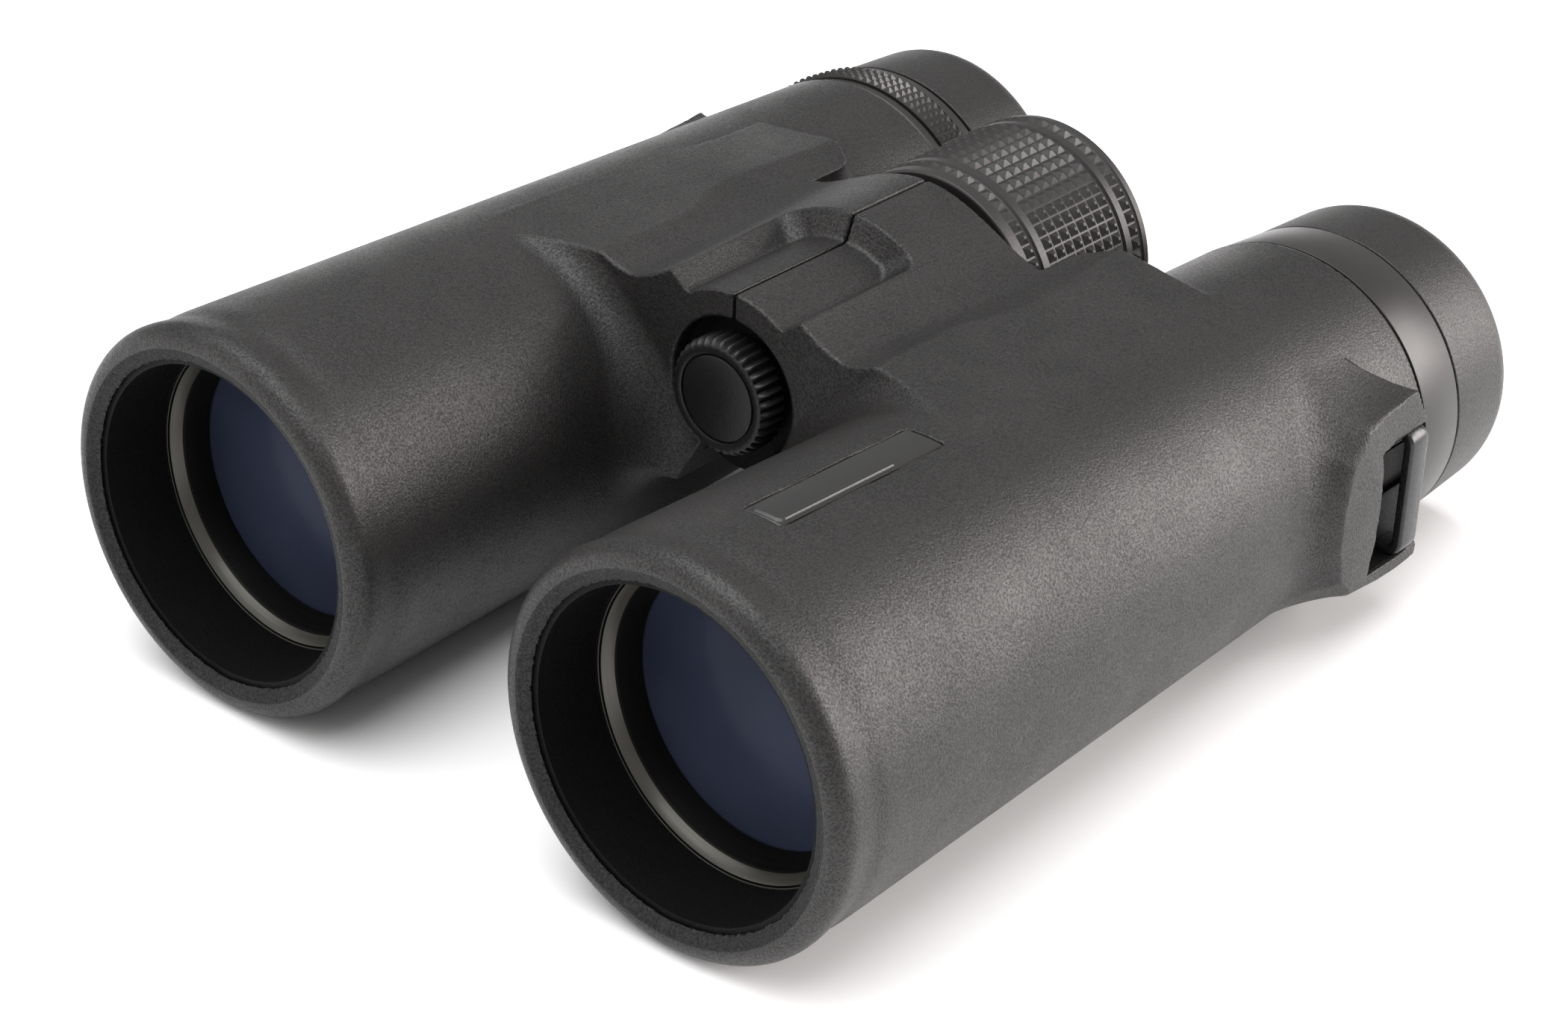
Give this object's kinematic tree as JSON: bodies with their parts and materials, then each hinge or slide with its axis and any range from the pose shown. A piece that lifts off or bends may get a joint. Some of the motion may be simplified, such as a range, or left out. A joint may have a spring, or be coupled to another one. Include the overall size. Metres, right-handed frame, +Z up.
{
  "type": "binoculars",
  "caption": "Roof-prism binoculars with rubber-armoured barrels on a folding hinge, a knurled focus wheel, a diopter ring and twist-up eyecups.",
  "frame": {"origin": "centre of the bounding box's footprint, level with the lowest line of the objective rims", "axes": "+Y along the optical axes from the objectives to the eyepieces, +X to the right when looking along +Y, +Z up"},
  "size_m": [0.1284, 0.1472, 0.0566],
  "materials": {
    "armour_rubber": "matte soft-touch, fine speckle",
    "eyecup_rubber": "matte",
    "grip_rubber": "satin, knurled",
    "seal_rubber": "smooth",
    "collar_satin": "satin black anodised",
    "cast_black": "satin black paint",
    "cell_black": "black anodised",
    "retainer_grey": "satin grey anodised",
    "moulded_black": "fine moulded texture",
    "plate_black": "satin",
    "coated_glass": "polished, coated",
    "optical_glass": "polished",
    "strap_bar_metal": "gloss black",
    "steel": "turned",
    "bronze": "turned"
  },
  "bodies": {
    "left_half": {"left_armour": "armour_rubber", "left_barrel_casting": "cast_black", "left_objective_cell": "cell_black", "left_objective_retainer": "retainer_grey", "left_objective_seal": "seal_rubber", "left_objective_crown_lens": "coated_glass", "left_objective_flint_lens": "optical_glass", "left_prism_cage": "moulded_black", "left_half_penta_prism": "optical_glass", "left_roof_prism": "optical_glass", "left_eyepiece_tube": "cell_black", "left_strap_bar": "strap_bar_metal", "left_ocular_cell": "cell_black", "left_field_lens": "optical_glass", "left_ocular_rings": "cell_black", "left_eye_lens": "coated_glass", "left_eyepiece_collar": "collar_satin", "hinge_shaft": "steel", "hinge_cover": "cast_black", "tripod_socket": "bronze", "nameplate": "plate_black"},
    "right_half": {"right_armour": "armour_rubber", "right_barrel_casting": "cast_black", "right_objective_cell": "cell_black", "right_objective_retainer": "retainer_grey", "right_objective_seal": "seal_rubber", "right_objective_crown_lens": "coated_glass", "right_objective_flint_lens": "optical_glass", "right_prism_cage": "moulded_black", "right_half_penta_prism": "optical_glass", "right_roof_prism": "optical_glass", "right_eyepiece_tube": "cell_black", "right_strap_bar": "strap_bar_metal", "hinge_bushes": "bronze"},
    "focus_wheel": {"focus_wheel_grip": "grip_rubber", "focus_wheel_hub": "moulded_black", "focus_wheel_cover": "moulded_black", "focus_wheel_screw": "steel", "focus_screw": "steel"},
    "focus_carriage": {"focus_slider": "cell_black", "focus_nut": "bronze", "focus_pins": "steel", "left_focus_cell": "cell_black", "left_focus_lens": "optical_glass"},
    "right_focus_carriage": {"right_focus_fork": "cell_black", "right_focus_cell": "cell_black", "right_focus_lens": "optical_glass"},
    "diopter_ring": {"diopter_ring": "collar_satin"},
    "right_ocular": {"right_ocular_cell": "cell_black", "right_field_lens": "optical_glass", "right_ocular_rings": "cell_black", "right_eye_lens": "coated_glass", "diopter_pin": "steel"},
    "left_eyecup_slide_ring": {"left_eyecup_detent_ring": "moulded_black"},
    "left_eyecup": {"left_eyecup_sleeve": "moulded_black", "left_eyecup_rubber": "eyecup_rubber"},
    "right_eyecup_slide_ring": {"right_eyecup_detent_ring": "moulded_black"},
    "right_eyecup": {"right_eyecup_sleeve": "moulded_black", "right_eyecup_rubber": "eyecup_rubber"},
    "tripod_cap": {"tripod_cap": "moulded_black"}
  },
  "joints": [
    {"name": "fold", "type": "hinge", "parent": "left_half", "child": "right_half", "pos_m": [0, 0.00145, 0.0395], "axis": [0, -1, 0], "range_deg": [0, 52]},
    {"name": "focus_turn", "type": "hinge", "parent": "left_half", "child": "focus_wheel", "pos_m": [0, 0.03345, 0.0395], "axis": [0, -1, 0], "range_deg": [-270, 270]},
    {"name": "focus_travel", "type": "slide", "parent": "left_half", "child": "focus_carriage", "axis": [0, 1, 0], "range_m": [-0.0035, 0.0035]},
    {"name": "right_focus_travel", "type": "slide", "parent": "right_half", "child": "right_focus_carriage", "axis": [0, 1, 0], "range_m": [-0.0035, 0.0035]},
    {"name": "diopter_turn", "type": "hinge", "parent": "right_half", "child": "diopter_ring", "pos_m": [-0.038, 0.05445, 0.0263], "axis": [0, -1, 0], "range_deg": [-60, 60]},
    {"name": "diopter_travel", "type": "slide", "parent": "right_half", "child": "right_ocular", "axis": [0, 1, 0], "range_m": [-0.0015, 0.0015]},
    {"name": "left_eyecup_rise", "type": "slide", "parent": "left_half", "child": "left_eyecup_slide_ring", "axis": [0, 1, 0], "range_m": [0, 0.008]},
    {"name": "left_eyecup_turn", "type": "hinge", "parent": "left_eyecup_slide_ring", "child": "left_eyecup", "pos_m": [0.038, 0.06645, 0.0263], "axis": [0, -1, 0], "range_deg": [0, 100]},
    {"name": "right_eyecup_rise", "type": "slide", "parent": "right_half", "child": "right_eyecup_slide_ring", "axis": [0, 1, 0], "range_m": [0, 0.008]},
    {"name": "right_eyecup_turn", "type": "hinge", "parent": "right_eyecup_slide_ring", "child": "right_eyecup", "pos_m": [-0.038, 0.06645, 0.0263], "axis": [0, -1, 0], "range_deg": [0, 100]},
    {"name": "tripod_cap_out", "type": "slide", "parent": "left_half", "child": "tripod_cap", "axis": [0, -1, 0], "range_m": [0, 0.03]}
  ],
  "couplings": [
    {"joint": "focus_travel", "follows": "focus_turn", "m_per_rad": 0.00074272},
    {"joint": "right_focus_travel", "follows": "focus_turn", "m_per_rad": 0.00074272},
    {"joint": "diopter_travel", "follows": "diopter_turn", "m_per_rad": 0.0014324},
    {"joint": "left_eyecup_rise", "follows": "left_eyecup_turn", "m_per_rad": 0.0045837},
    {"joint": "right_eyecup_rise", "follows": "right_eyecup_turn", "m_per_rad": 0.0045837}
  ]
}
